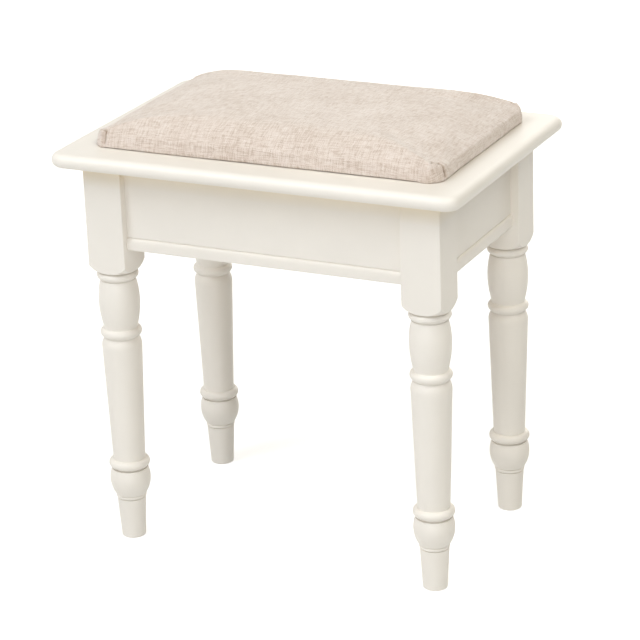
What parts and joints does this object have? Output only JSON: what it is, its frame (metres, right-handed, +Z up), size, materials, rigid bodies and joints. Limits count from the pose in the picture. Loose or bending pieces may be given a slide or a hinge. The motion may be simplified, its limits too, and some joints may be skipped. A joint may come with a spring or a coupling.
{
  "type": "dressing table stool",
  "caption": "Rectangular dressing-table stool: turned legs under a half-round edged top, beaded rails and a fabric-covered seat pad.",
  "frame": {"origin": "on the floor, under the middle of the stool", "axes": "+X to the right along the long side, +Y to the back, +Z up"},
  "size_m": [0.46, 0.31, 0.482],
  "materials": {
    "cream_paint": "satin",
    "beech": "matte",
    "plywood": "matte",
    "zinc_steel": "satin",
    "seat_foam": "matte",
    "seat_fabric": "matte"
  },
  "bodies": {
    "root": {"leg_front_left": "cream_paint", "leg_front_right": "cream_paint", "leg_back_left": "cream_paint", "leg_back_right": "cream_paint", "rail_front": "cream_paint", "rail_back": "cream_paint", "rail_left": "cream_paint", "rail_right": "cream_paint", "seat_top": "cream_paint", "pad_board": "plywood", "pad_foam": "seat_foam", "pad_cover": "seat_fabric", "corner_block_front_left": "beech", "corner_block_front_right": "beech", "corner_block_back_left": "beech", "corner_block_back_right": "beech", "dowels": "beech", "hanger_bolts": "zinc_steel", "washers": "zinc_steel", "nuts": "zinc_steel", "block_screws": "zinc_steel", "top_screws": "zinc_steel", "pad_screws": "zinc_steel"}
  },
  "joints": []
}
